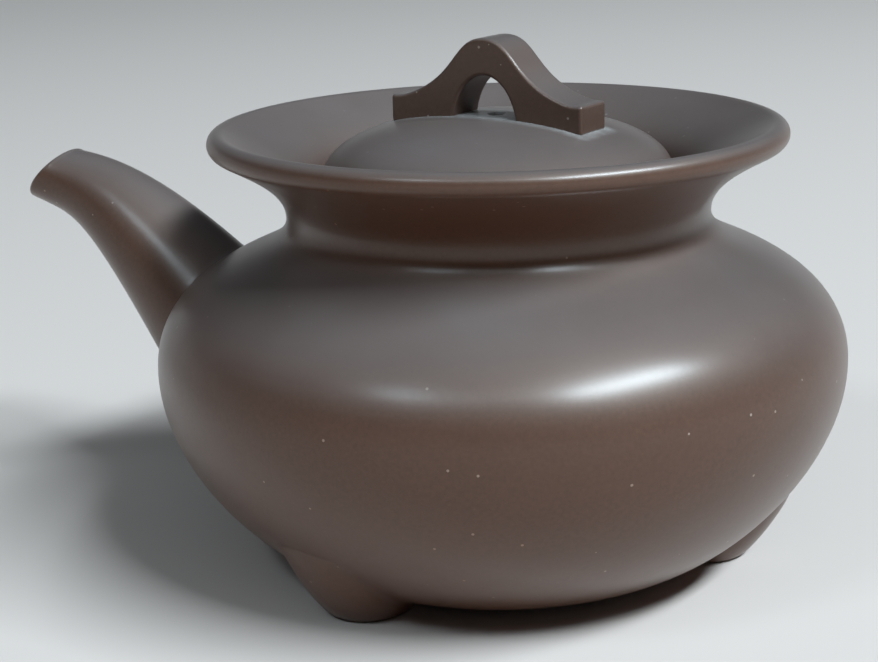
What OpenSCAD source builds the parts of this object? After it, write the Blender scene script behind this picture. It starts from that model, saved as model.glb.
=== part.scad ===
// Teapot of unglazed stoneware, held by its flared collar: squat belly on three feet,
// short spout and an inset lift-off lid with a bridge knob.
// Z is up, the table is z = 0, and the spout points along -X.
// Outlines are drawn as [radius, height] about the pot's axis.

/* [Belly] */
// Largest radius of the belly
belly_r = 46; // [42:0.5:50]
// Height of the belly's widest circle
belly_z = 27.6; // [25:0.2:30]
// Fullness of the belly under its widest circle
belly_low_pull = 12.8; // [11:0.2:14]
// Fullness of the belly over its widest circle
belly_high_pull = 6.9; // [5:0.1:8]
// Thickness of the belly, shoulder and collar
wall = 2.8; // [2.2:0.1:3.2]
// Radius of the flat base slab
base_r = 24; // [20:0.5:26]
// Height of the base slab's underside above the table
base_z = 1.2; // [1:0.1:3]
// Length of the flat start of the belly's underside
base_pull = 7.8; // [6:0.2:10]

/* [Shoulder and neck] */
// Radius where the shoulder turns from round to hollow
shoulder_r = 35; // [33:0.5:37]
// Height of that circle
shoulder_z = 41.4; // [40:0.2:43]
// Slope of the shoulder there, in degrees
shoulder_slope = 23.5; // [18:0.5:30]
// Fullness of the shoulder outside that circle
shoulder_out_pull = 7; // [5:0.2:8]
// Length of the slope inside that circle
shoulder_in_pull = 4.5; // [3:0.2:5.5]
// Outer radius of the neck
neck_r = 28; // [27:0.2:30]
// Height of the neck's narrowest circle
neck_z = 47.2; // [46:0.2:48]
// Length of the upright stretch under that circle
neck_pull = 2.6; // [1.5:0.1:3]

/* [Collar] */
// Outer radius of the lip
lip_r = 37.8; // [36:0.2:40]
// Height of the lip's top
lip_z = 58.8; // [57.5:0.1:60]
// Radius of the lip's round edge
lip_round = 1.5; // [1.2:0.05:1.7]
// Length of the collar's upright start
collar_pull = 3.9; // [3:0.1:4.5]
// Length of the collar's sloping end
collar_flare = 4.6; // [3:0.1:5]
// Slope of the collar under the lip, in degrees
collar_slope = 28; // [25:1:36]

/* [Lid seat] */
// Height of the ledge that carries the lid
seat_z = 49.8; // [49.4:0.1:50.4]
// Width of the ledge
seat_w = 2.9; // [2.2:0.1:5]
// Thickness of the ledge
seat_t = 2.6; // [2:0.1:3]

/* [Lid] */
// Gap between the lid's brim and the collar
lid_gap = 0.4; // [0.3:0.05:0.8]
// Gap between the lid's flange and the ledge
flange_gap = 0.4; // [0.3:0.05:0.8]
// Thickness of the brim
brim_t = 2.2; // [1.8:0.1:2.6]
// Radius of the dome where it meets the brim
dome_r = 23.2; // [22.4:0.1:23.6]
// Height of the dome's top
dome_z = 59.7; // [58:0.1:61]
// Width of the dome where its side turns over, as a share of its foot
dome_side = 0.97; // [0.94:0.01:1]
// Height of that turn, as a share of the dome's rise
dome_turn = 0.62; // [0.5:0.01:0.75]
// Width of the dome's flat crown, as a share of its foot
dome_crown = 0.64; // [0.5:0.01:0.7]
// Thickness of the dome
dome_t = 2.4; // [2:0.1:3]
// Thickness of the flange
flange_t = 2.4; // [2:0.1:3]
// Depth of the flange under the brim
flange_h = 6.2; // [4:0.1:8]
// Radius of the vent hole
vent_r = 1; // [0.6:0.1:1.5]

/* [Knob] */
// Length of the knob's strap
knob_l = 29; // [26:0.5:32]
// Width of the strap
knob_w = 6.4; // [5.5:0.1:7.5]
// Height of the arch's top over the strap's foot
knob_h = 10.8; // [9.8:0.1:12]
// Depth of the strap's foot under the dome's top
knob_sink = 0.7; // [0.4:0.1:1.2]
// Width of the arch's crown, as a share of the strap's length
knob_crown = 0.36; // [0.25:0.01:0.45]
// Reach of the arch's flanks, as a share of the strap's length
knob_flank = 0.27; // [0.2:0.01:0.4]
// Height at which the flanks run out, as a share of the arch's height
knob_flank_h = 0.42; // [0.3:0.01:0.5]
// Thickness of the strap at its ends
knob_end_t = 2.5; // [2:0.1:3]
// Width of the finger gap at its foot
gap_w = 9.6; // [9:0.1:11]
// Height of the finger gap
gap_h = 6; // [5.6:0.1:6.5]
// Width of the gap's round top, as a share of its width
gap_crown = 0.3; // [0.2:0.01:0.4]
// Height at which the gap's sides are upright, as a share of its height
gap_side = 0.4; // [0.3:0.01:0.6]
// Turn of the lid from the spout's line, in degrees
lid_turn = -7; // [-30:1:30]

/* [Spout] */
// Distance of the spout's root from the pot's axis
spout_root_x = 38.6; // [37.5:0.1:40]
// Height of the spout's root
spout_root_z = 20.4; // [19:0.2:22]
// Slope of the spout as it leaves the belly, in degrees
spout_root_slope = 49; // [46:1:52]
// Length of that slope
spout_root_pull = 33.6; // [31:0.2:36]
// Distance of the mouth's centre from the pot's axis
spout_tip_x = 72.8; // [70:0.2:76]
// Height of the mouth's centre
spout_tip_z = 47.5; // [46:0.1:49]
// Slope of the spout at its mouth, in degrees
spout_tip_slope = 15; // [10:1:20]
// Length of that slope
spout_tip_pull = 7.8; // [6:0.2:10]
// Tilt of the mouth's cut against the spout's line, in degrees
mouth_tilt = 30; // [20:1:35]
// Outer radius of the spout at its root
spout_root_r = 11.7; // [11:0.1:12.2]
// Radius that the spout's middle draws in towards
spout_mid_r = 4.5; // [4:0.1:5.2]
// Outer radius of the spout at its mouth
spout_tip_r = 5.1; // [4.8:0.05:5.5]
// Thickness of the spout at its root
spout_root_wall = 2.6; // [2.2:0.1:3]
// Thickness of the spout at its mouth
spout_tip_wall = 1.5; // [1.3:0.1:1.7]
// Radius of the mouth's round edge
spout_edge = 0.6; // [0.4:0.05:0.7]

/* [Strainer] */
// Height of the tea hole's centre
tea_hole_z = 29.5; // [28:0.5:31]
// Radius of the tea hole through the belly
tea_hole_r = 6; // [5:0.1:6.4]
// Depth of the strainer's outer end under the belly's widest circle
strainer_inset = 3; // [3:0.1:3.6]
// Length of the strainer's cup
strainer_l = 7; // [6:0.1:9]
// Thickness of the strainer
strainer_t = 1.2; // [1:0.1:1.5]
// Radius of each strainer hole
strainer_hole_r = 0.7; // [0.5:0.05:0.8]

/* [Feet] */
// Distance of each foot's pad outside the base slab's edge
foot_out = 0.8; // [0:0.2:3]
// Direction of the first foot, in degrees from +X
foot_turn = 16; // [-60:1:60]
// Outward lean of each foot, in degrees
foot_lean = 26; // [20:1:28]
// Radius of a foot's pad before it is rubbed flat
pad_r = 3; // [2.6:0.1:3.6]
// Flare of a foot just above its pad
foot_flare = 1.8; // [1:0.1:3]
// Fullness of a foot's flank
foot_pull = 11.5; // [8:0.5:13]
// Radius of a foot where it meets the belly
foot_r = 8.4; // [7:0.1:9]
// Length of a foot, with the part that is inside the belly's outline
foot_l = 16; // [15.5:0.5:18]

/* [Hidden] */

clay = [0.235, 0.165, 0.14];
clay_inside = [0.33, 0.25, 0.21];
curve_steps = 10;
// A cut passes this far beyond the faces that it goes through.
over = 1;
$fn = 96;

// A curve is four points: its ends, and the two that its ends head for.
function curve_at(c, t) =
    pow(1 - t, 3) * c[0] + 3 * t * pow(1 - t, 2) * c[1]
    + 3 * t * t * (1 - t) * c[2] + pow(t, 3) * c[3];
function heading_at(c, t) =
    pow(1 - t, 2) * (c[1] - c[0]) + 2 * t * (1 - t) * (c[2] - c[1]) + t * t * (c[3] - c[2]);
function unit(v) = v / norm(v);
function left_of(v) = [-v.y, v.x];
function along(angle, length) = length * [cos(angle), sin(angle)];
function offset_at(c, t, inward) = curve_at(c, t) + inward * left_of(unit(heading_at(c, t)));
function trace(c, inward = 0, steps = curve_steps) =
    [for (i = [0:steps]) offset_at(c, i / steps, inward)];
function reversed(points) = [for (i = [len(points) - 1:-1:0]) points[i]];
function without_first(points) = [for (i = [1:len(points) - 1]) points[i]];

// The pot's outer outline, from the base slab to the lip.
shoulder_point = [shoulder_r, shoulder_z];
lip_centre = [lip_r - lip_round, lip_z - lip_round];
collar_end = lip_centre + along(collar_slope - 90, lip_round);
lower_curve = [
    [base_r, base_z], [base_r + base_pull, base_z],
    [belly_r, belly_z - belly_low_pull], [belly_r, belly_z],
];
upper_curve = [
    [belly_r, belly_z], [belly_r, belly_z + belly_high_pull],
    shoulder_point + along(-shoulder_slope, shoulder_out_pull), shoulder_point,
];
neck_curve = [
    shoulder_point, shoulder_point - along(-shoulder_slope, shoulder_in_pull),
    [neck_r, neck_z - neck_pull], [neck_r, neck_z],
];
collar_curve = [
    [neck_r, neck_z], [neck_r, neck_z + collar_pull],
    collar_end - along(collar_slope, collar_flare), collar_end,
];
throat_r = neck_r - wall;
seat_r = throat_r - seat_w;

// The collar's inner face runs down from the lip to the throat.
bowl_start = lip_centre + along(collar_slope + 90, lip_round);
bowl_curve = [
    bowl_start, bowl_start - along(collar_slope, collar_flare),
    [throat_r, seat_z + 2 * brim_t], [throat_r, seat_z],
];

// The pot stands with the middle of its footprint's box at the origin.
spout_front =
    spout_tip_x + (spout_tip_r - spout_edge) * sin(spout_tip_slope + mouth_tilt) + spout_edge;
axis_x = (spout_front - belly_r) / 2;
module on_axis() { translate([axis_x, 0, 0]) children(); }

module revolve(points) { rotate_extrude() polygon(points); }

// Everything inside the outer face of the belly.
module belly_core() {
    revolve(concat(
        [[0, base_z]], trace(lower_curve), without_first(trace(upper_curve)), [[0, shoulder_z]]
    ));
}

module base_slab() {
    color(clay) on_axis() translate([0, 0, base_z]) cylinder(r = base_r, h = wall);
}

module belly_wall() {
    color(clay) on_axis() difference() {
        revolve(concat(
            trace(lower_curve), without_first(trace(upper_curve)),
            reversed(trace(upper_curve, wall)), without_first(reversed(trace(lower_curve, wall)))
        ));
        translate([0, 0, tea_hole_z]) rotate([0, -90, 0])
            cylinder(r = tea_hole_r, h = belly_r + over);
    }
}

module shoulder_ring() {
    color(clay) on_axis()
        revolve(concat(trace(neck_curve), reversed(trace(neck_curve, wall))));
}

module collar() {
    lip_steps = 12;
    lip_arc = [
        for (i = [1:lip_steps - 1])
            lip_centre + along(collar_slope - 90 + 180 * i / lip_steps, lip_round)
    ];
    color(clay) on_axis() revolve(concat(
        trace(collar_curve), lip_arc, trace(bowl_curve), [[throat_r, neck_z]]
    ));
}

module lid_seat() {
    color(clay_inside) on_axis() translate([0, 0, seat_z - seat_t]) difference() {
        cylinder(r = throat_r, h = seat_t);
        translate([0, 0, -over]) cylinder(r = seat_r, h = seat_t + 2 * over);
    }
}

// The spout's middle line, drawn as [distance from the axis, height].
spout_root = [spout_root_x, spout_root_z];
spout_tip = [spout_tip_x, spout_tip_z];
spout_curve = [
    spout_root, spout_root + along(spout_root_slope, spout_root_pull),
    spout_tip - along(spout_tip_slope, spout_tip_pull), spout_tip,
];
spout_sides = 36;
spout_rings = 20;
bore_rings = 12;
edge_rings = 3;
function spout_r(t) =
    spout_root_r * pow(1 - t, 2) + 2 * spout_mid_r * t * (1 - t) + spout_tip_r * pow(t, 2);
function bore_r(t) = spout_r(t) - spout_root_wall - (spout_tip_wall - spout_root_wall) * t;

// The rings lie square to the middle line at the root, and tilt up towards the mouth's cut.
function facing_at(t) =
    let (h = heading_at(spout_curve, t))
    along(atan2(h.y, h.x) + mouth_tilt * pow(t, 2), 1);

// A point at an angle about the middle line, pushed forwards out of its ring.
function around(t, r, angle, push = 0) =
    let (facing = facing_at(t))
    let (p = curve_at(spout_curve, t) + push * facing + r * cos(angle) * left_of(facing))
    [-p.x, r * sin(angle), p.y];
function spout_point(t, angle, in_bore) =
    around(t, in_bore ? bore_r(t) : spout_r(t), angle);

// Where the spout's skin or its bore comes out of the belly, found by halving. The luting
// is the line of wet clay between the two.
luting = 0.04;
belly_table = [
    for (p = concat(trace(lower_curve), without_first(trace(upper_curve)))) [p.y, p.x]
];
function is_outside(p) = norm([p.x, p.y]) > lookup(p.z, belly_table) + luting;
function root_at(angle, in_bore, low = 0, high = 0.5, tries = 16) =
    let (middle = (low + high) / 2) tries == 0 ? high
    : is_outside(spout_point(middle, angle, in_bore))
        ? root_at(angle, in_bore, low, middle, tries - 1)
        : root_at(angle, in_bore, middle, high, tries - 1);

// The skin runs up the outside, over the mouth's edge and back down the bore.
module spout() {
    angles = [for (i = [0:spout_sides - 1]) 360 * i / spout_sides];
    skin_start = [for (a = angles) root_at(a, false)];
    bore_start = [for (a = angles) root_at(a, true)];
    function step(start, part) = start + (1 - start) * part;
    rings = concat(
        [for (j = [0:spout_rings]) [for (i = [0:spout_sides - 1])
            spout_point(step(skin_start[i], j / spout_rings), angles[i], false)]],
        [for (j = [1:edge_rings]) let (turn = 90 * j / edge_rings) [for (a = angles)
            around(1, spout_tip_r - spout_edge * (1 - cos(turn)), a, spout_edge * sin(turn))]],
        [[for (a = angles) around(1, bore_r(1), a, spout_edge)]],
        [for (j = [bore_rings:-1:0]) [for (i = [0:spout_sides - 1])
            spout_point(step(bore_start[i], j / bore_rings), angles[i], true)]]
    );
    count = len(rings);
    color(clay) on_axis() polyhedron(
        [for (r = rings) each r],
        [for (j = [0:count - 1]) for (i = [0:spout_sides - 1])
            let (k = (i + 1) % spout_sides, this = j * spout_sides)
            let (next = ((j + 1) % count) * spout_sides)
            each [[this + i, next + k, this + k], [this + i, next + i, next + k]]]
    );
}

// A pierced cup in the tea hole keeps leaves out of the spout.
module strainer() {
    rows = 2;
    inner_r = tea_hole_r - strainer_t;
    rim = inner_r / 16;
    row_step = (inner_r - strainer_hole_r - rim) / rows;
    color(clay_inside) on_axis() translate([strainer_inset - belly_r, 0, tea_hole_z])
        rotate([0, 90, 0]) difference() {
            cylinder(r = tea_hole_r, h = strainer_l);
            translate([0, 0, -strainer_t]) cylinder(r = inner_r, h = strainer_l);
            cylinder(r = strainer_hole_r, h = 2 * strainer_l, $fn = 24);
            for (row = [1:rows]) for (i = [1:6 * row])
                rotate([0, 0, 60 * i / row]) translate([row_step * row, 0, 0])
                    cylinder(r = strainer_hole_r, h = 2 * strainer_l, $fn = 24);
        }
}

// A foot swells from its pad up to the belly, leans outwards and is rubbed flat below.
module foot(index) {
    side_curve = [
        [pad_r, 0], [pad_r + foot_flare, 0], [foot_r, foot_l - foot_pull], [foot_r, foot_l],
    ];
    color(clay) on_axis() difference() {
        rotate([0, 0, foot_turn + 120 * index])
            translate([base_r + foot_out, 0, -pad_r * sin(foot_lean)]) rotate([0, foot_lean, 0])
                revolve(concat([[0, 0]], trace(side_curve), [[0, foot_l]]));
        belly_core();
        translate([-belly_r, -belly_r, -belly_r]) cube([2 * belly_r, 2 * belly_r, belly_r]);
    }
}
module foot_a() { foot(0); }
module foot_b() { foot(1); }
module foot_c() { foot(2); }

// The lid: a brim on the ledge, and a dome that rises from it.
brim_r = throat_r - lid_gap;
brim_z = seat_z + brim_t;
dome_curve = [
    [dome_r, brim_z], [dome_side * dome_r, brim_z + dome_turn * (dome_z - brim_z)],
    [dome_crown * dome_r, dome_z], [0, dome_z],
];
module lid_place() { on_axis() rotate([0, 0, lid_turn]) children(); }

module lid_plate() {
    inside = [for (p = trace(dome_curve, dome_t)) if (p.x > vent_r / 2) [p.x, max(p.y, seat_z)]];
    color(clay) lid_place() difference() {
        revolve(concat(
            [[brim_r, seat_z], [brim_r, brim_z]], trace(dome_curve),
            [[0, dome_z - dome_t]], reversed(inside), [[inside[0].x, seat_z]]
        ));
        translate([0, 0, seat_z]) cylinder(r = vent_r, h = dome_z, $fn = 32);
    }
}

flange_r = seat_r - flange_gap;
module lid_flange() {
    color(clay) lid_place() translate([0, 0, seat_z - flange_h]) difference() {
        cylinder(r = flange_r, h = flange_h);
        translate([0, 0, -over]) cylinder(r = flange_r - flange_t, h = flange_h + 2 * over);
    }
}

// The knob: a strap bent into an arch, with a flat tab at each end.
// Its outline goes on into the lid, and the dome cuts it off there.
knob_foot = dome_z - knob_sink;
knob_root = dome_t + knob_sink;
knob_steps = 16;
module knob_outline() {
    half = knob_l / 2;
    side_curve = [
        [0, knob_h], [knob_crown * half, knob_h],
        [knob_flank * half, knob_flank_h * knob_h], [half, knob_end_t],
    ];
    right = trace(side_curve, 0, knob_steps);
    left = [for (p = reversed(right)) [-p.x, p.y]];
    polygon(concat(
        [[-half, -knob_root], [half, -knob_root]], reversed(right), without_first(reversed(left))
    ));
}
module knob_gap() {
    side_curve = [
        [0, gap_h], [gap_crown * gap_w, gap_h], [gap_w / 2, gap_side * gap_h],
        [gap_w / 2, -knob_root - over],
    ];
    right = trace(side_curve);
    polygon(concat(right, [for (p = reversed(right)) [-p.x, p.y]]));
}
module knob() {
    color(clay) lid_place() difference() {
        translate([0, knob_w / 2, knob_foot]) rotate([90, 0, 0])
            linear_extrude(knob_w) difference() {
                knob_outline();
                knob_gap();
            }
        revolve(concat([[0, seat_z]], [[dome_r, seat_z]], trace(dome_curve)));
    }
}

base_slab();
belly_wall();
shoulder_ring();
collar();
lid_seat();
spout();
strainer();
foot_a();
foot_b();
foot_c();
lid_plate();
lid_flange();
knob();
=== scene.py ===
import math

import bmesh
import bpy
import numpy as np
from mathutils import Matrix, Vector


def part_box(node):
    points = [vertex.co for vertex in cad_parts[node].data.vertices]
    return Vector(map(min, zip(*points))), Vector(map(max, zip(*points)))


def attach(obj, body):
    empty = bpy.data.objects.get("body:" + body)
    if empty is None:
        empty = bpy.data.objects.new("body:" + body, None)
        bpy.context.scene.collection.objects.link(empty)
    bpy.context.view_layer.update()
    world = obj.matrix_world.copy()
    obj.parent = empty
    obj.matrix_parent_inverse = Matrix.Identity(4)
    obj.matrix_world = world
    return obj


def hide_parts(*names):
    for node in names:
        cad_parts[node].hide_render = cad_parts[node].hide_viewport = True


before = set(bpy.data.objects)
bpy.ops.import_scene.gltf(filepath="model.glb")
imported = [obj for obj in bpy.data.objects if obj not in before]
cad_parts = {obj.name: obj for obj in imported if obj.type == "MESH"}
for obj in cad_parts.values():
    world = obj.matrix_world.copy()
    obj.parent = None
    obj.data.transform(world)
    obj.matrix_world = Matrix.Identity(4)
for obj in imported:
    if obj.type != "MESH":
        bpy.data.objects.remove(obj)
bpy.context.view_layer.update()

# Lengths are in mm until a mesh is built. Angles in the sizes are in degrees.
MM = 0.001
slab_lo, slab_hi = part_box("base_slab")
AXIS_X = (slab_lo[0] + slab_hi[0]) / 2 / MM

# The sizes of the solids, under the names that the part's source gives them.
WALL = 2.8
BELLY_R, BELLY_Z, BELLY_LOW_PULL, BELLY_HIGH_PULL = 46.0, 27.6, 12.8, 6.9
BASE_R, BASE_Z, BASE_PULL = 24.0, 1.2, 7.8
SHOULDER_R, SHOULDER_Z, SHOULDER_SLOPE = 35.0, 41.4, 23.5
SHOULDER_OUT_PULL, SHOULDER_IN_PULL = 7.0, 4.5
NECK_R, NECK_Z, NECK_PULL = 28.0, 47.2, 2.6
LIP_R, LIP_Z, LIP_ROUND = 37.8, 58.8, 1.5
COLLAR_PULL, COLLAR_FLARE, COLLAR_SLOPE = 3.9, 4.6, 28.0
THROAT_R = NECK_R - WALL
SEAT_Z, SEAT_R = 49.8, 22.3

LID_GAP, FLANGE_GAP, LID_TURN = 0.4, 0.4, -7.0
BRIM_T = 2.2
BRIM_R, BRIM_Z = THROAT_R - LID_GAP, SEAT_Z + BRIM_T
DOME_R, DOME_Z, DOME_T = 23.2, 59.7, 2.4
DOME_SIDE, DOME_TURN, DOME_CROWN = 0.97, 0.62, 0.64
FLANGE_R, FLANGE_T, FLANGE_H = SEAT_R - FLANGE_GAP, 2.4, 6.2
VENT_R = 1.0

KNOB_L, KNOB_W, KNOB_H, KNOB_SINK, KNOB_END_T = 29.0, 6.4, 10.8, 0.7, 2.5
KNOB_CROWN, KNOB_FLANK, KNOB_FLANK_H = 0.36, 0.27, 0.42
GAP_W, GAP_H, GAP_CROWN, GAP_SIDE = 9.6, 6.0, 0.3, 0.4

SPOUT_ROOT, SPOUT_TIP = np.array([38.6, 20.4]), np.array([72.8, 47.5])
SPOUT_ROOT_SLOPE, SPOUT_ROOT_PULL = 49.0, 33.6
SPOUT_TIP_SLOPE, SPOUT_TIP_PULL = 15.0, 7.8
SPOUT_ROOT_R, SPOUT_MID_R, SPOUT_TIP_R = 11.7, 4.5, 5.1
SPOUT_ROOT_WALL, SPOUT_TIP_WALL, SPOUT_EDGE = 2.6, 1.5, 0.6
MOUTH_TILT = 30
TEA_HOLE_Z, TEA_HOLE_R = 29.5, 6.0

FOOT_AT, FOOT_TURN, FOOT_LEAN = 24.8, 16.0, math.radians(26)
PAD_R, FOOT_FLARE, FOOT_PULL, FOOT_R, FOOT_L = 3.0, 1.8, 11.5, 8.4, 16.0

# Points around the turned pieces, and around the spout and the feet.
AROUND = 288
SIDES = 96

# What the skin adds to the solids. A root goes on past its fillet by its skirt, and ends
# that deep in the clay that it is luted to.
SPOUT_FILLET, SPOUT_SKIRT, SPOUT_SUNK, BORE_SUNK = 1.5, 0.5, 0.45, 0.3
FOOT_FILLET, FOOT_SKIRT, FOOT_SUNK, FOOT_MIDDLE_SUNK = 2.2, 0.3, 0.35, 1.2
FILLET_SHARE, PAD_EDGE, PAD_EDGE_SHARE, FLANK_SHARE = 0.42, 0.7, 0.3, 0.45
WAVES, PRESSES = 0.09, 0.03
DENT, DENT_TURN, DENT_Z = 0.16, math.radians(-31), 39.6
DENT_WIDE, DENT_HIGH, DENT_R = 4.4, 1.7, 40
SEAT_EDGE, BRIM_EDGE, DOME_EDGE, FLANGE_EDGE = 0.4, 0.5, 0.35, 0.8
TIP_LIFT, TIP_FROM = 0.45, 0.82
KNOB_EDGE, KNOB_ROOT = 0.7, -0.9
DUST_WIDE = 1.7


# Points, curves and outlines

def along(angle, length=1.0):
    a = math.radians(angle)
    return np.array([math.cos(a), math.sin(a)]) * length


def unit(v):
    v = np.asarray(v, float)
    return v / np.maximum(np.linalg.norm(v, axis=-1, keepdims=True), 1e-12)


def curve_at(curve, t):
    """A curve is four points: its ends, and the two that its ends head for."""
    a, b, c, d = (np.asarray(p, float) for p in curve)
    return (1 - t) ** 3 * a + 3 * t * (1 - t) ** 2 * b + 3 * t * t * (1 - t) * c + t ** 3 * d


def heading_at(curve, t):
    a, b, c, d = (np.asarray(p, float) for p in curve)
    return (1 - t) ** 2 * (b - a) + 2 * t * (1 - t) * (c - b) + t * t * (d - c)


def trace(curve, inward, steps):
    points = []
    for i in range(steps + 1):
        t = i / steps
        heading = unit(heading_at(curve, t))
        left = np.array([-heading[1], heading[0]])
        points.append(curve_at(curve, t) + inward * left)
    return points


def straight(a, b, steps):
    a, b = np.asarray(a, float), np.asarray(b, float)
    return [a + (b - a) * i / steps for i in range(steps + 1)]


def eased(a, corner, b, steps):
    """A soft way from a to b that heads for the corner."""
    return [(1 - u) ** 2 * a + 2 * u * (1 - u) * corner + u * u * b
            for u in [i / steps for i in range(steps + 1)]]


def rounded(a, corner, b, size, steps=4):
    """The corner between a and b, rounded."""
    a, corner, b = (np.asarray(v, float) for v in (a, corner, b))
    return eased(corner + unit(a - corner) * size, corner,
                 corner + unit(b - corner) * size, steps)


def joined(*runs):
    """Runs of points end to end, without the repeated ones, and where each run ends."""
    points, marks = [], [0]
    for run in runs:
        points += run if not points else run[1:]
        marks.append(len(points) - 1)
    return np.array(points), marks


shoulder = np.array([SHOULDER_R, SHOULDER_Z])
lip_centre = np.array([LIP_R - LIP_ROUND, LIP_Z - LIP_ROUND])
collar_end = lip_centre + along(COLLAR_SLOPE - 90, LIP_ROUND)
bowl_start = lip_centre + along(COLLAR_SLOPE + 90, LIP_ROUND)
lower_curve = [(BASE_R, BASE_Z), (BASE_R + BASE_PULL, BASE_Z),
               (BELLY_R, BELLY_Z - BELLY_LOW_PULL), (BELLY_R, BELLY_Z)]
upper_curve = [(BELLY_R, BELLY_Z), (BELLY_R, BELLY_Z + BELLY_HIGH_PULL),
               shoulder + along(-SHOULDER_SLOPE, SHOULDER_OUT_PULL), shoulder]
neck_curve = [shoulder, shoulder - along(-SHOULDER_SLOPE, SHOULDER_IN_PULL),
              (NECK_R, NECK_Z - NECK_PULL), (NECK_R, NECK_Z)]
collar_curve = [(NECK_R, NECK_Z), (NECK_R, NECK_Z + COLLAR_PULL),
                collar_end - along(COLLAR_SLOPE, COLLAR_FLARE), collar_end]
bowl_curve = [bowl_start, bowl_start - along(COLLAR_SLOPE, COLLAR_FLARE),
              (THROAT_R, SEAT_Z + 2 * BRIM_T), (THROAT_R, SEAT_Z)]
dome_curve = [(DOME_R, BRIM_Z),
              (DOME_SIDE * DOME_R, BRIM_Z + DOME_TURN * (DOME_Z - BRIM_Z)),
              (DOME_CROWN * DOME_R, DOME_Z), (0, DOME_Z)]

# The base's outline starts this far from the axis, around the fan that closes it.
FAN_R = 1.5
LIP_STEPS = 14
lip_arc = [lip_centre + along(COLLAR_SLOPE - 90 + 180 * i / LIP_STEPS, LIP_ROUND)
           for i in range(LIP_STEPS + 1)]


def wall_runs(inward):
    """The wall's outer or inner face, from the floor's middle to the neck."""
    z = BASE_Z + inward
    return (straight((FAN_R, z), (BASE_R, z), 12), trace(lower_curve, inward, 44),
            trace(upper_curve, inward, 26), trace(neck_curve, inward, 16))


outer, marks = joined(*wall_runs(0), trace(collar_curve, 0, 20), lip_arc,
                      trace(bowl_curve, 0, 20))
inner = joined(*wall_runs(WALL))[0]
BASE_END, WIDEST, BELLY_END, NECK_END = marks[1:5]
belly_profile = outer[BASE_END:BELLY_END + 1]
underside = outer[BASE_END:WIDEST + 1]


# The hand-made surface

def hand_made(azimuth, z):
    """How far the pot dips under its ideal outline: slow, shallow and never proud."""
    a, z = np.asarray(azimuth, float), np.asarray(z, float)
    slow = 0.5 + 0.25 * np.sin(2 * a + 0.7 + 0.06 * z) + 0.25 * np.sin(3 * a - 1.1 - 0.09 * z)
    pressed = 0.5 + 0.5 * np.sin(7 * a + 0.35 * z) * np.sin(0.42 * z - 2 * a + 0.8)
    # The waves die out towards the table and the lip.
    calm = np.clip((z - 2.5) / 6, 0, 1) * np.clip((LIP_Z - 2.5 - z) / 8, 0, 1)
    from_dent = (a - DENT_TURN + math.pi) % (2 * math.pi) - math.pi
    dent = np.exp(-((from_dent * DENT_R / DENT_WIDE) ** 2 + ((z - DENT_Z) / DENT_HIGH) ** 2))
    return calm * (WAVES * slow + PRESSES * pressed) + DENT * dent


def spun(points, dip=False):
    """Rings of a turned outline, each point [x, y, z] about the pot's own axis."""
    angles = np.arange(AROUND) * 2 * math.pi / AROUND
    rings = np.zeros((len(points), AROUND, 3))
    for ring, (r, z) in zip(rings, points):
        radius = r - (hand_made(angles, z) if dip else 0)
        ring[:, 0] = radius * np.cos(angles)
        ring[:, 1] = radius * np.sin(angles)
        ring[:, 2] = z
    return rings


def ring_normals(rings):
    """Normals of rings that run on smoothly, from the neighbours of each point."""
    up = np.zeros_like(rings)
    up[1:-1] = rings[2:] - rings[:-2]
    up[0] = rings[1] - rings[0]
    up[-1] = rings[-1] - rings[-2]
    side = np.roll(rings, -1, axis=1) - np.roll(rings, 1, axis=1)
    return unit(np.cross(side, up))


# Meshes

pieces = []


def placed(mesh, name, body, node):
    obj = bpy.data.objects.new(name, mesh)
    bpy.context.scene.collection.objects.link(obj)
    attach(obj, body)
    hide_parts(node)
    pieces.append(obj)
    return obj


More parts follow.
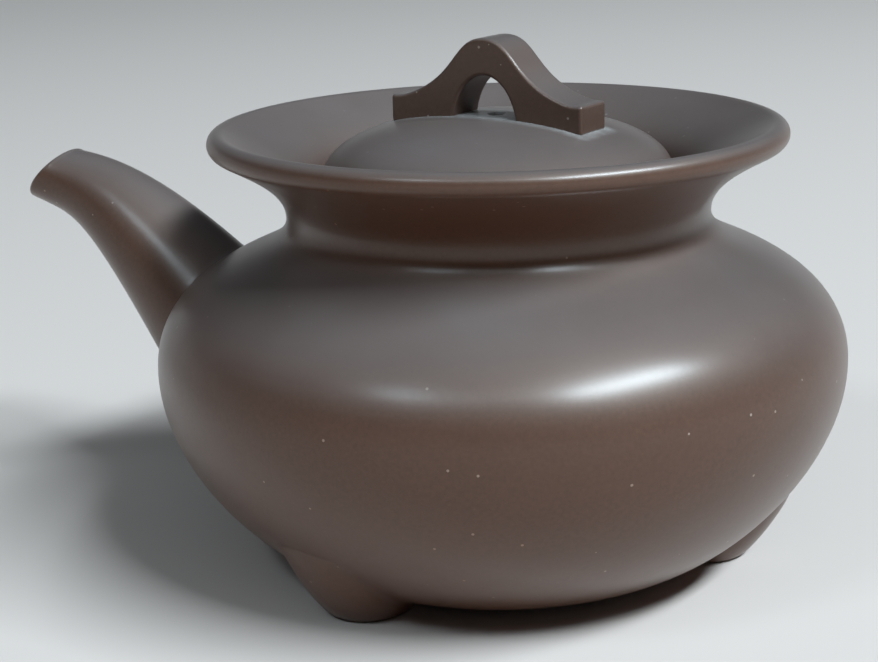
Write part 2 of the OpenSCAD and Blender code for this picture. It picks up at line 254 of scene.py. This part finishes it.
class Skin:
    """A closed skin of rings. Each strip keeps its own normals, so an edge between two
    strips is crisp, and a strip that goes on in the next piece shades across the seam."""

    def __init__(self):
        self.points, self.faces, self.normals = [], [], []

    def ring(self, points):
        start = len(self.points)
        self.points += [tuple(p) for p in points]
        return list(range(start, start + len(points)))

    def face(self, corners, normals=None):
        self.faces.append(tuple(corners))
        self.normals.append(normals)

    def strip(self, low, high, low_normals, high_normals, skip=None):
        """Faces between two rings, but for the cells to skip."""
        count = len(low)
        for i in range(count):
            if skip is not None and skip[i]:
                continue
            k = (i + 1) % count
            self.face((low[i], low[k], high[k], high[i]),
                      (low_normals[i], low_normals[k], high_normals[k], high_normals[i]))

    def strips(self, rings, normals, skip=None):
        """Consecutive rings joined by smooth strips."""
        ids = [self.ring(r) for r in rings]
        for j in range(len(ids) - 1):
            self.strip(ids[j], ids[j + 1], normals[j], normals[j + 1],
                       None if skip is None else skip[j])
        return ids

    def joint(self, low, high):
        """A flat strip with normals of its own, such as the joint between two pieces."""
        points = np.array(self.points)
        a, b = points[low], points[high]
        normals = unit(np.cross(np.roll(a, -1, axis=0) - np.roll(a, 1, axis=0), b - a))
        self.strip(low, high, normals, normals)

    def fan(self, ring, centre, normal=None):
        middle = len(self.points)
        self.points.append(tuple(centre))
        for a, b in zip(ring, ring[1:] + ring[:1]):
            self.face((a, b, middle), None if normal is None else [normal] * 3)

    def build(self, name, body, node, turn=0.0):
        """The piece's object, with the skin turned about the pot's axis."""
        a = math.radians(turn)
        spin = np.array([[math.cos(a), -math.sin(a), 0], [math.sin(a), math.cos(a), 0],
                         [0, 0, 1]])
        points = (np.array(self.points) @ spin.T + np.array([AXIS_X, 0, 0])) * MM
        mesh = bpy.data.meshes.new(name)
        mesh.from_pydata([tuple(p) for p in points], [], self.faces)
        mesh.shade_smooth()
        mesh.update()
        corners = []
        for polygon, normals in zip(mesh.polygons, self.normals):
            if normals is None:
                corners += [tuple(polygon.normal)] * polygon.loop_total
            else:
                corners += [tuple(spin @ np.asarray(n, float)) for n in normals]
        mesh.normals_split_custom_set(corners)
        return placed(mesh, name, body, node)


# Base, belly, shoulder and collar

out_rings, in_rings = spun(outer, dip=True), spun(inner)
out_normals, in_normals = ring_normals(out_rings), -ring_normals(in_rings)


def hole_cells(rings):
    """The cells whose middle lies in the tea hole, and the points on its rim."""
    middle = (rings[:-1] + rings[1:]) / 2
    middle = (middle + np.roll(middle, -1, axis=1)) / 2
    away = np.hypot(middle[..., 1], middle[..., 2] - TEA_HOLE_Z)
    gone = (away < TEA_HOLE_R) & (middle[..., 0] < 0)
    touching = np.zeros(rings.shape[:2], int)
    for up in (0, 1):
        for along_ring in (0, 1):
            touching[up:up + len(gone)] += np.roll(gone, along_ring, axis=1)
    return gone, (touching > 0) & (touching < 4)


def snap_to_hole(rings, rim):
    """Moves the rim's points onto the hole's circle, still on the wall."""
    for j, i in zip(*np.nonzero(rim)):
        x, y, z = rings[j, i]
        away = math.hypot(y, z - TEA_HOLE_Z)
        new_y = y * TEA_HOLE_R / away
        new_z = TEA_HOLE_Z + (z - TEA_HOLE_Z) * TEA_HOLE_R / away
        rings[j, i] = (-math.sqrt(max(x * x + y * y - new_y * new_y, 1)), new_y, new_z)


def line_hole(skin, outs, ins, gone):
    """The wall of the tea hole, between the rims of the outer and the inner skin."""
    count = gone.shape[1]
    for j, i in zip(*np.nonzero(gone)):
        k = (i + 1) % count
        # Each side of the cell: the cell beyond it, and the side's two corners.
        for beyond, a, b in (((j - 1, i), (j, i), (j, k)),
                             ((j + 1, i), (j + 1, k), (j + 1, i)),
                             ((j, (i - 1) % count), (j + 1, i), (j, i)),
                             ((j, k), (j, k), (j + 1, k))):
            if not gone[beyond]:
                skin.face((outs[a[0]][a[1]], outs[b[0]][b[1]],
                           ins[b[0]][b[1]], ins[a[0]][a[1]]))


def wall_piece(name, node, start, end, floor=False, hole=False):
    """A piece of the pot's wall: outer skin up, across the joint, inner skin down."""
    skin = Skin()
    outside = out_rings[start:end + 1].copy()
    inside = in_rings[start:end + 1].copy()
    gone = np.zeros((end - start, AROUND), bool)
    if hole:
        gone, rim = hole_cells(outside)
        snap_to_hole(outside, rim)
        snap_to_hole(inside, rim)
    up = skin.strips(outside, out_normals[start:end + 1], gone)
    down = skin.strips(inside[::-1], in_normals[start:end + 1][::-1], gone[::-1])
    skin.joint(up[-1], down[0])
    if floor:
        skin.fan(up[0][::-1], (0, 0, BASE_Z), (0, 0, -1))
        skin.fan(down[-1], (0, 0, BASE_Z + WALL), (0, 0, 1))
    else:
        skin.joint(down[-1], up[0])
    line_hole(skin, up, down[::-1], gone)
    skin.build(name, "pot", node)


def build_collar():
    skin = Skin()
    face = skin.strips(out_rings[NECK_END:], out_normals[NECK_END:])
    foot = skin.ring(spun([(THROAT_R, NECK_Z)])[0])
    skin.joint(face[-1], foot)
    skin.joint(foot, face[0])
    skin.build("clay_collar", "pot", "collar")


wall_piece("clay_base", "base_slab", 0, BASE_END, floor=True)
wall_piece("clay_belly", "belly_wall", BASE_END, BELLY_END, hole=True)
wall_piece("clay_shoulder", "shoulder_ring", BELLY_END, NECK_END)
build_collar()


# Where spout and feet meet the pot

def find(f, low, high):
    """Where f turns from positive to negative between low and high."""
    for _ in range(28):
        middle = (low + high) / 2
        if f(middle) > 0:
            low = middle
        else:
            high = middle
    return (low + high) / 2


class Surface:
    """A surface, from a function that says how far outside it a point lies."""

    def __init__(self, gap, step, rounds):
        self.gap, self.step, self.rounds = gap, step, rounds

    def normal(self, p):
        return unit(np.array([self.gap(p + self.step * axis) - self.gap(p - self.step * axis)
                              for axis in np.eye(3)]))

    def nearest(self, p, depth=0.0):
        """The surface's point next to p, or one that deep under it."""
        for _ in range(self.rounds):
            p = p - self.normal(p) * self.gap(p)
        return p - self.normal(p) * depth


def belly_gap(p):
    r = np.interp(p[2], belly_profile[:, 1], belly_profile[:, 0])
    return math.hypot(p[0], p[1]) - (r - float(hand_made(math.atan2(p[1], p[0]), p[2])))


def under_z_at(r):
    return np.interp(r, underside[:, 0], underside[:, 1])


def under_gap(p, turn):
    """Positive below the belly's underside, negative inside the belly."""
    r = math.hypot(p[0], p[1])
    if p[2] > BELLY_Z:
        return r - BELLY_R
    if r <= BASE_R:
        return BASE_Z - p[2]
    dip = float(hand_made(math.atan2(p[1], p[0]) + turn, p[2]))
    slope = max(0.0, (under_z_at(r + 0.1) - under_z_at(r - 0.1)) / 0.2)
    below = under_z_at(min(r + dip, BELLY_R - 0.01)) - p[2]
    return below / math.sqrt(1 + min(slope, 8) ** 2)


# Spout

spout_curve = [SPOUT_ROOT, SPOUT_ROOT + along(SPOUT_ROOT_SLOPE, SPOUT_ROOT_PULL),
               SPOUT_TIP - along(SPOUT_TIP_SLOPE, SPOUT_TIP_PULL), SPOUT_TIP]
EDGE_STEPS, RIM_STEPS, BORE_STEPS, LENGTH_STEPS, FILLET_STEPS = 6, 4, 24, 44, 7
TINY_T, TINY_TURN = 0.01, 0.01


def spout_r(t):
    return SPOUT_ROOT_R * (1 - t) ** 2 + 2 * SPOUT_MID_R * t * (1 - t) + SPOUT_TIP_R * t * t


def bore_r(t):
    return spout_r(t) - SPOUT_ROOT_WALL - (SPOUT_TIP_WALL - SPOUT_ROOT_WALL) * t


def on_tube(t, r, angle, push=0.0):
    """A point at radius r around the spout's line, pushed on along it. Towards the mouth
    the sections tilt, until the last one has the tilt of the mouth."""
    heading = heading_at(spout_curve, t)
    facing = along(math.degrees(math.atan2(heading[1], heading[0])) + MOUTH_TILT * t * t)
    side = np.array([-facing[1], facing[0]])
    p = curve_at(spout_curve, t) + push * facing + r * math.cos(angle) * side
    return np.array([-p[0], r * math.sin(angle), p[1]])


def on_spout(t, angle):
    return on_tube(t, spout_r(t), angle)


def on_bore(t, angle):
    return on_tube(t, bore_r(t), angle)


def root_of(skin_at, angle):
    """How far along the spout its skin comes out of the belly."""
    return find(lambda t: -belly_gap(skin_at(t, angle)), 0.0, 0.6)


def spout_column(belly, angle):
    """From the luted root out to the mouth, over its edge and back down the bore, with
    the belly's normal at the root."""
    t_root = root_of(on_spout, angle)
    corner = on_spout(t_root, angle)
    ahead = on_spout(t_root + TINY_T, angle) - corner
    out = unit(ahead)
    belly_up = belly.normal(corner)
    around = on_spout(t_root, angle + TINY_TURN) - on_spout(t_root, angle - TINY_TURN)
    spout_up = unit(np.cross(around, out))
    over_belly = unit(spout_up - np.dot(spout_up, belly_up) * belly_up)
    over_spout = unit(belly_up - np.dot(belly_up, spout_up) * spout_up)
    reach = SPOUT_FILLET / max(0.5, float(np.dot(over_spout, out)))
    t_start = t_root + reach / (np.linalg.norm(ahead) / TINY_T)
    low_end = belly.nearest(corner + SPOUT_FILLET * over_belly)

    column = [belly.nearest(corner + (SPOUT_FILLET + SPOUT_SKIRT) * over_belly, SPOUT_SUNK)]
    column += eased(low_end, corner, on_spout(t_start, angle), FILLET_STEPS)
    column += [on_spout(t_start + (1 - t_start) * i / LENGTH_STEPS, angle)
               for i in range(1, LENGTH_STEPS + 1)]
    for i in range(1, EDGE_STEPS + 1):
        turn = math.radians(90 / EDGE_STEPS * i)
        column.append(on_tube(1, spout_r(1) - SPOUT_EDGE * (1 - math.cos(turn)), angle,
                              SPOUT_EDGE * math.sin(turn)))
    rim = spout_r(1) - SPOUT_EDGE - bore_r(1)
    for i in range(1, RIM_STEPS + 1):
        turn = math.radians(90 / RIM_STEPS * i)
        column.append(on_tube(1, bore_r(1) + rim * (1 - math.sin(turn)), angle,
                              SPOUT_EDGE * math.cos(turn)))
    t_inner = root_of(on_bore, angle)
    column += [on_bore(1 + (t_inner - 1) * i / BORE_STEPS, angle)
               for i in range(1, BORE_STEPS + 1)]
    column.append(belly.nearest(on_bore(t_inner, angle), BORE_SUNK))
    return column, belly.normal(low_end)


def build_spout():
    belly = Surface(belly_gap, 0.05, 4)
    columns, root_normals = zip(*(spout_column(belly, 2 * math.pi * i / SIDES)
                                  for i in range(SIDES)))
    rings = np.array(columns).transpose(1, 0, 2)
    normals = ring_normals(rings)
    normals[1] = root_normals
    skin = Skin()
    ids = skin.strips(rings[1:], normals[1:])
    sunk = skin.ring(rings[0])
    skin.joint(sunk, ids[0])
    skin.joint(ids[-1], sunk)
    skin.build("clay_spout", "pot", "spout")


build_spout()


# Feet

foot_curve = [(PAD_R, 0), (PAD_R + FOOT_FLARE, 0), (FOOT_R, FOOT_L - FOOT_PULL),
              (FOOT_R, FOOT_L)]
FLANK_STEPS, PAD_STEPS, FOOT_TINY_T = 18, 4, 0.004


def on_foot(t, angle):
    """A point of the foot's flank. The foot stands on +X of the pot's axis."""
    r, z = curve_at(foot_curve, t)
    x, y = r * math.cos(angle), r * math.sin(angle)
    sin, cos = math.sin(FOOT_LEAN), math.cos(FOOT_LEAN)
    return np.array([FOOT_AT + x * cos + z * sin, y, -PAD_R * sin - x * sin + z * cos])


def foot_column(under, angle):
    """From the pad up the flank to the luted root, with the belly's normal there."""
    t_floor = find(lambda t: -on_foot(t, angle)[2], 0.0, 0.7)
    t_root = find(lambda t: under.gap(on_foot(t, angle)), t_floor, 1.0)
    corner, toe = on_foot(t_root, angle), on_foot(t_floor, angle)
    floor_speed = np.linalg.norm(on_foot(t_floor + FOOT_TINY_T, angle) - toe) / FOOT_TINY_T
    toe[2] = 0
    behind = on_foot(t_root - FOOT_TINY_T, angle)
    up = unit(on_foot(t_root + FOOT_TINY_T, angle) - behind)
    around = on_foot(t_root, angle + TINY_TURN) - on_foot(t_root, angle - TINY_TURN)
    foot_out = unit(np.cross(around, up))
    belly_down = under.normal(corner)
    over_belly = unit(foot_out - np.dot(foot_out, belly_down) * belly_down)

    # On a short flank the rounded edges are smaller.
    flank = np.linalg.norm(corner - toe)
    fillet = min(FOOT_FILLET, FILLET_SHARE * flank)
    edge = min(PAD_EDGE, PAD_EDGE_SHARE * flank)
    t_end = t_root - fillet / (np.linalg.norm(behind - corner) / FOOT_TINY_T)
    t_start = min(t_floor + edge / max(floor_speed, 1e-6),
                  t_floor + FLANK_SHARE * (t_end - t_floor))
    pad = toe + unit(np.array([FOOT_AT + 1.5, 0, 0]) - toe) * edge
    low_end = under.nearest(corner + fillet * over_belly)

    column = eased(pad, toe, on_foot(t_start, angle), PAD_STEPS)
    column += [on_foot(t_start + (t_end - t_start) * i / FLANK_STEPS, angle)
               for i in range(1, FLANK_STEPS + 1)]
    column += eased(on_foot(t_end, angle), corner, low_end, FILLET_STEPS)[1:]
    column.append(under.nearest(corner + (fillet + FOOT_SKIRT) * over_belly, FOOT_SUNK))
    return column, under.normal(low_end)


def build_foot(name, node, turn):
    under = Surface(lambda p: under_gap(p, math.radians(turn)), 0.08, 6)
    columns, root_normals = zip(*(foot_column(under, 2 * math.pi * i / SIDES)
                                  for i in range(SIDES)))
    rings = np.array(columns).transpose(1, 0, 2)
    normals = ring_normals(rings)
    normals[0] = (0, 0, -1)
    normals[-2] = root_normals
    skin = Skin()
    ids = skin.strips(rings[:-1], normals[:-1])
    skin.fan(ids[0][::-1], (rings[0][:, 0].mean(), 0, 0), (0, 0, -1))
    sunk = skin.ring(rings[-1])
    skin.joint(ids[-1], sunk)
    skin.fan(sunk, under.nearest(rings[-1].mean(0), FOOT_MIDDLE_SUNK))
    skin.build(name, "pot", node, turn)


for index, letter in enumerate("abc"):
    build_foot("clay_foot_" + letter, "foot_" + letter, FOOT_TURN + 120 * index)


# Lid

def dust_at_knob(points):
    """Dust that no cloth reaches, on the dome along the knob's foot."""
    away = np.abs(points[:, :2]) - (KNOB_L / 2, KNOB_W / 2)
    distance = np.linalg.norm(np.maximum(away, 0), axis=1)
    return np.clip(1 - distance / DUST_WIDE, 0, 1) * (points[:, 2] > BRIM_Z)


def build_lid():
    dome = [p for p in trace(dome_curve, 0, 60) if p[0] > VENT_R + 0.5]
    hollow = [p for p in trace(dome_curve, DOME_T, 40) if p[0] > VENT_R and p[1] > SEAT_Z]
    runs = [
        straight((hollow[0][0], SEAT_Z), (BRIM_R - SEAT_EDGE, SEAT_Z), 4),
        rounded((BRIM_R - 1, SEAT_Z), (BRIM_R, SEAT_Z), (BRIM_R, BRIM_Z), SEAT_EDGE),
        rounded((BRIM_R, SEAT_Z), (BRIM_R, BRIM_Z), (DOME_R, BRIM_Z), BRIM_EDGE),
        rounded((BRIM_R, BRIM_Z), dome[0], dome[2], DOME_EDGE),
        dome[2:] + rounded(dome[-1], (VENT_R, DOME_Z), (VENT_R, DOME_Z - 1), DOME_EDGE),
        straight((VENT_R, DOME_Z - 0.4), (VENT_R, hollow[-1][1]), 3),
    ]
    outline = []
    for run in runs:
        outline += [p for p in run
                    if not outline or np.linalg.norm(p - outline[-1]) > 1e-3]
    over, under = spun(outline), spun(hollow[::-1])
    skin = Skin()
    top = skin.strips(over, ring_normals(over))
    bottom = skin.strips(under, ring_normals(under))
    skin.joint(top[-1], bottom[0])
    skin.joint(bottom[-1], top[0])
    lid = skin.build("clay_lid", "lid", "lid_plate", LID_TURN)
    dust = lid.data.attributes.new("dust", "FLOAT", "POINT")
    dust.data.foreach_set("value", dust_at_knob(np.array(skin.points)))


def build_flange():
    low, high = SEAT_Z - FLANGE_H, SEAT_Z
    r_in, r_out = FLANGE_R - FLANGE_T, FLANGE_R
    side_end = low + FLANGE_EDGE + 0.1
    outline = (straight((r_out, high), (r_out, side_end), 6)
               + rounded((r_out, high), (r_out, low), (r_in, low), FLANGE_EDGE, 5)
               + rounded((r_out, low), (r_in, low), (r_in, high), FLANGE_EDGE, 5)
               + straight((r_in, side_end), (r_in, high), 6))
    rings = spun(outline[::-1])
    skin = Skin()
    ids = skin.strips(rings, ring_normals(rings))
    skin.joint(ids[-1], ids[0])
    skin.build("clay_flange", "lid", "lid_flange", LID_TURN)


def build_knob():
    """A strap bent into an arch. Its ends turn up a little where a finger pressed them,
    and its sides reach into the dome."""
    half = KNOB_L / 2
    arch = trace([(0, KNOB_H), (KNOB_CROWN * half, KNOB_H),
                  (KNOB_FLANK * half, KNOB_FLANK_H * KNOB_H), (half, KNOB_END_T)], 0, 40)
    gap = trace([(0, GAP_H), (GAP_CROWN * GAP_W, GAP_H), (GAP_W / 2, GAP_SIDE * GAP_H),
                 (GAP_W / 2, KNOB_ROOT)], 0, 20)
    side = [(x, z + TIP_LIFT * max(0.0, (x / half - TIP_FROM) / (1 - TIP_FROM)) ** 2)
            for x, z in arch]
    side += [(half, KNOB_ROOT)] + [(x, z) for x, z in gap[::-1]]
    outline = side + [(-x, z) for x, z in side[-2:0:-1]]
    foot_z = DOME_Z - KNOB_SINK

    bm = bmesh.new()
    front = [bm.verts.new((x, -KNOB_W / 2, z + foot_z)) for x, z in outline]
    back = [bm.verts.new((x, KNOB_W / 2, z + foot_z)) for x, z in outline]
    bm.faces.new(front)
    bm.faces.new(back[::-1])
    for i in range(len(outline)):
        k = (i + 1) % len(outline)
        bm.faces.new((front[k], front[i], back[i], back[k]))
    bmesh.ops.recalc_face_normals(bm, faces=bm.faces[:])
    bmesh.ops.transform(bm, verts=bm.verts, matrix=Matrix.Scale(MM, 4)
                        @ Matrix.Translation((AXIS_X, 0, 0))
                        @ Matrix.Rotation(math.radians(LID_TURN), 4, "Z"))
    mesh = bpy.data.meshes.new("clay_knob")
    bm.to_mesh(mesh)
    bm.free()
    mesh.shade_smooth()
    knob = placed(mesh, "clay_knob", "lid", "knob")
    bevel = knob.modifiers.new("worn_edges", "BEVEL")
    bevel.width = KNOB_EDGE * MM
    bevel.segments = 4
    bevel.limit_method = "ANGLE"
    bevel.angle_limit = math.radians(40)
    bevel.harden_normals = True


build_lid()
build_flange()
build_knob()


# Materials

class Nodes:
    """Short ways to add nodes to a tree. A value is a socket to link, or a constant."""

    def __init__(self, tree):
        self.tree = tree
        self.place = None

    def new(self, kind, **settings):
        node = self.tree.nodes.new("ShaderNode" + kind)
        for name, value in settings.items():
            setattr(node, name, value)
        return node

    def feed(self, socket, value):
        if isinstance(value, bpy.types.NodeSocket):
            self.tree.links.new(value, socket)
        elif isinstance(value, tuple):
            socket.default_value = (*value, 1)
        else:
            socket.default_value = value

    def object_place(self):
        """The object's own coordinates, from one node for the whole tree."""
        if self.place is None:
            self.place = self.new("TexCoord").outputs["Object"]
        return self.place

    def noise(self, scale, detail, rough):
        node = self.new("TexNoise")
        self.feed(node.inputs["Vector"], self.object_place())
        self.feed(node.inputs["Scale"], scale)
        self.feed(node.inputs["Detail"], detail)
        self.feed(node.inputs["Roughness"], rough)
        return node.outputs["Fac"]

    def maths(self, operation, *values, clamp=False):
        node = self.new("Math", operation=operation, use_clamp=clamp)
        for socket, value in zip(node.inputs, values):
            self.feed(socket, value)
        return node.outputs[0]

    def shades(self, value, colour, dark, light):
        """The colour times dark where the value is low, times light where it is high."""
        node = self.new("ValToRGB")
        stops = ((0.3, dark), (0.7, light))
        for element, (position, share) in zip(node.color_ramp.elements, stops):
            element.position = position
            element.color = (*(c * s for c, s in zip(colour, share)), 1)
        self.feed(node.inputs["Fac"], value)
        return node.outputs["Color"]

    def mix(self, factor, a, b):
        node = self.new("Mix", data_type="RGBA")
        self.feed(node.inputs["Factor"], factor)
        low, high = (i for i in node.inputs if i.type == "RGBA")
        self.feed(low, a)
        self.feed(high, b)
        return next(o for o in node.outputs if o.type == "RGBA")

    def rising(self, value, start, end, low=0.0, high=1.0):
        """Low up to start and high from end on, with a smooth change between them."""
        node = self.new("MapRange", interpolation_type="SMOOTHSTEP")
        for name, number in (("Value", value), ("From Min", start), ("From Max", end),
                             ("To Min", low), ("To Max", high)):
            self.feed(node.inputs[name], number)
        return node.outputs[0]

    def background_rays(self):
        """1 for the rays that show a background, straight or in gloss or glass, else 0."""
        path = self.new("LightPath")
        found = path.outputs["Is Camera Ray"]
        for name in ("Is Glossy Ray", "Is Transmission Ray"):
            found = self.maths("MAXIMUM", found, path.outputs[name])
        return found


def new_material(name):
    material = bpy.data.materials.new(name)
    material.use_nodes = True
    return (material, Nodes(material.node_tree),
            material.node_tree.nodes["Principled BSDF"].inputs)


CLAY, CLAY_INSIDE = (0.070, 0.037, 0.026), (0.105, 0.068, 0.055)
# The middle colour here is painted light: a pale grey sheen put on what faces up, where the
# light from above falls.
SPECKS, PAINTED_TOP_LIGHT, DUST = (0.42, 0.36, 0.32), (0.138, 0.121, 0.119), (0.36, 0.37, 0.37)
ROUGH = 0.56
COOL_WHITE = (0.96, 0.98, 1.0)


def clay(name, colour):
    """Unglazed clay: clouded and grained, with pale specks, a painted grey sheen of light
    from above on what faces up, dust where the mesh says so, and a soft gloss."""
    material, nodes, shader = new_material(name)

    cloud = nodes.noise(scale=55, detail=3, rough=0.55)
    clouded = nodes.shades(cloud, colour, (0.88, 0.86, 0.84), (1.1, 1.1, 1.12))
    grain = nodes.noise(scale=1700, detail=4, rough=0.6)
    grained = nodes.mix(0.55, clouded,
                        nodes.shades(grain, colour, (0.72, 0.7, 0.7), (1.28, 1.28, 1.3)))

    cells = nodes.new("TexVoronoi")
    nodes.feed(cells.inputs["Vector"], nodes.object_place())
    nodes.feed(cells.inputs["Scale"], 620)
    cell_value = nodes.new("SeparateColor")
    nodes.feed(cell_value.inputs["Color"], cells.outputs["Color"])
    speck = nodes.maths("MULTIPLY", nodes.maths("LESS_THAN", cells.outputs["Distance"], 0.11),
                        nodes.maths("GREATER_THAN", cell_value.outputs[0], 0.9))
    speckled = nodes.mix(nodes.maths("MULTIPLY", speck, 0.6), grained, SPECKS)

    # Painted light from above: what faces up is made paler and greyer, mottled by the cloud.
    normal = nodes.new("SeparateXYZ")
    nodes.feed(normal.inputs[0], nodes.new("NewGeometry").outputs["Normal"])
    painted_top_light = nodes.maths("MULTIPLY", nodes.rising(normal.outputs["Z"], 0.15, 1.0),
                       nodes.maths("MULTIPLY_ADD", cloud, 0.5, 0.5), clamp=True)
    powder = nodes.noise(scale=900, detail=4, rough=0.6)
    powder = nodes.maths("MULTIPLY_ADD", powder, 1.6, -0.25, clamp=True)
    dust_here = nodes.new("Attribute", attribute_name="dust").outputs["Fac"]
    dust = nodes.maths("MULTIPLY", dust_here, powder, clamp=True)
    nodes.feed(shader["Base Color"],
               nodes.mix(dust, nodes.mix(painted_top_light, speckled, PAINTED_TOP_LIGHT), DUST))

    # The roughness varies by 0.05 either way, and dust is rougher than clay.
    sheen = nodes.noise(scale=240, detail=3, rough=0.5)
    sheen = nodes.maths("MULTIPLY_ADD", sheen, 0.10, ROUGH - 0.05)
    nodes.feed(shader["Roughness"], nodes.maths("MULTIPLY_ADD", dust, 0.3, sheen))
    shader["IOR"].default_value = 1.5
    shader["Specular IOR Level"].default_value = 0.42
    shader["Specular Tint"].default_value = (1.0, 0.70, 0.50, 1)
    shader["Coat Weight"].default_value = 0.85
    shader["Coat Roughness"].default_value = 0.30

    bump = nodes.new("Bump")
    bump.inputs["Strength"].default_value = 0.35
    bump.inputs["Distance"].default_value = 0.06 * MM
    fine = nodes.noise(scale=2600, detail=3, rough=0.6)
    coarse = nodes.noise(scale=420, detail=3, rough=0.5)
    nodes.feed(bump.inputs["Height"],
               nodes.maths("ADD", nodes.maths("MULTIPLY", fine, 0.35), coarse))
    nodes.feed(shader["Normal"], bump.outputs["Normal"])
    return material


clay_outside, clay_inside = clay("clay_dark", CLAY), clay("clay_inside", CLAY_INSIDE)
for piece in pieces:
    piece.data.materials.append(clay_outside)
for name in ("lid_seat", "strainer"):
    for material_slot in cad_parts[name].material_slots:
        material_slot.material = clay_inside


# Floor, backdrop and light, in metres

FLOOR_HALF = 6.0
PAPER_END, BACKDROP_START = 0.7, 3.5
BACKDROP, ROOM_LIGHT = 0.50, 0.02


def floor_paper(seen, bounced):
    """Pale paper. What it throws back onto the pot is warmer than what the camera sees,
    and far from the pot it goes over into the pale backdrop."""
    material, nodes, shader = new_material("floor_paper")
    shader["Roughness"].default_value = 0.8
    shader["Specular IOR Level"].default_value = 0.1
    rays = nodes.background_rays()
    nodes.feed(shader["Base Color"], nodes.mix(rays, bounced, seen))
    away = nodes.new("VectorMath", operation="LENGTH")
    nodes.feed(away.inputs[0], nodes.object_place())
    shader["Emission Color"].default_value = (*COOL_WHITE, 1)
    far = nodes.rising(away.outputs["Value"], PAPER_END, BACKDROP_START, 0, BACKDROP)
    nodes.feed(shader["Emission Strength"], nodes.maths("MULTIPLY", rays, far))
    return material


def build_floor():
    mesh = bpy.data.meshes.new("floor")
    half = FLOOR_HALF
    mesh.from_pydata([(-half, -half, 0), (half, -half, 0), (half, half, 0), (-half, half, 0)],
                     [], [(0, 1, 2, 3)])
    mesh.materials.append(floor_paper((0.63, 0.565, 0.53), (0.56, 0.28, 0.13)))
    floor = bpy.data.objects.new("floor", mesh)
    bpy.context.scene.collection.objects.link(floor)


def build_world():
    """Almost dark for the light on the pot, and a pale wall low down for what is seen."""
    world = bpy.data.worlds.new("studio")
    world.use_nodes = True
    bpy.context.scene.world = world
    nodes = Nodes(world.node_tree)
    background = world.node_tree.nodes["Background"].inputs
    background["Color"].default_value = (*COOL_WHITE, 1)
    direction = nodes.new("SeparateXYZ")
    nodes.feed(direction.inputs[0], nodes.new("TexCoord").outputs["Generated"])
    wall = nodes.rising(direction.outputs["Z"], 0.05, 0.30, BACKDROP, 0)
    wall = nodes.maths("MULTIPLY", nodes.background_rays(), wall)
    nodes.feed(background["Strength"], nodes.maths("MAXIMUM", wall, ROOM_LIGHT))


# The photo looks along the pot's +Y, turned by this much.
PHOTO_TURN = 25.0
LAMP_DISTANCE, LAMP_AIM = 2.2, Vector((0.010, 0, 0.035))


def lamp(name, azimuth, elevation, size, watts, colour):
    """A soft box aimed at the pot. The azimuth counts from the photo's right, in degrees."""
    data = bpy.data.lights.new(name, "AREA")
    data.shape = "RECTANGLE"
    data.size, data.size_y = size
    data.energy = watts
    data.color = colour
    obj = bpy.data.objects.new(name, data)
    a, e = math.radians(azimuth + PHOTO_TURN), math.radians(elevation)
    away = Vector((math.cos(e) * math.cos(a), math.cos(e) * math.sin(a), math.sin(e)))
    obj.location = LAMP_AIM + LAMP_DISTANCE * away
    obj.rotation_euler = away.to_track_quat("Z", "Y").to_euler()
    bpy.context.scene.collection.objects.link(obj)


build_floor()
build_world()
lamp("key", -35, 50, (1.40, 0.27), 80.0, (0.79, 0.92, 1.0))
lamp("band", -86, 50, (1.90, 0.30), 6.5, (0.78, 0.92, 1.0))
lamp("side", -130, 48, (0.50, 0.30), 7.5, (0.76, 0.91, 1.0))


# Camera, as fitted to the photo: its tilt, pan and roll in radians, its place in metres
# and its focal length in pixels of a picture that wide.

TILT, PAN, ROLL = 0.2738, -0.0359, -0.0277
CAMERA_PLACE = (0, -0.230, 0.095)
FOCAL_PIXELS, PICTURE_PIXELS, SENSOR_MM = 1767.47, 878, 36


def build_camera():
    ahead = Vector((math.sin(PAN) * math.cos(TILT), math.cos(PAN) * math.cos(TILT),
                    -math.sin(TILT)))
    level = Vector((math.cos(PAN), -math.sin(PAN), 0))
    upright = level.cross(ahead)
    right = level * math.cos(ROLL) + upright * math.sin(ROLL)
    up = -level * math.sin(ROLL) + upright * math.cos(ROLL)
    spin = Matrix.Rotation(math.radians(PHOTO_TURN), 3, "Z")
    axes = Matrix((spin @ right, spin @ up, spin @ -ahead)).transposed()
    place = spin @ Vector(CAMERA_PLACE) + Vector((AXIS_X * MM, 0, 0))
    data = bpy.data.cameras.new("camera")
    data.sensor_width = SENSOR_MM
    data.lens = SENSOR_MM * FOCAL_PIXELS / PICTURE_PIXELS
    data.clip_start = 0.01
    camera = bpy.data.objects.new("camera", data)
    camera.matrix_world = Matrix.Translation(place) @ axes.to_4x4()
    bpy.context.scene.collection.objects.link(camera)
    bpy.context.scene.camera = camera


build_camera()
bpy.context.scene.view_settings.view_transform = "Standard"
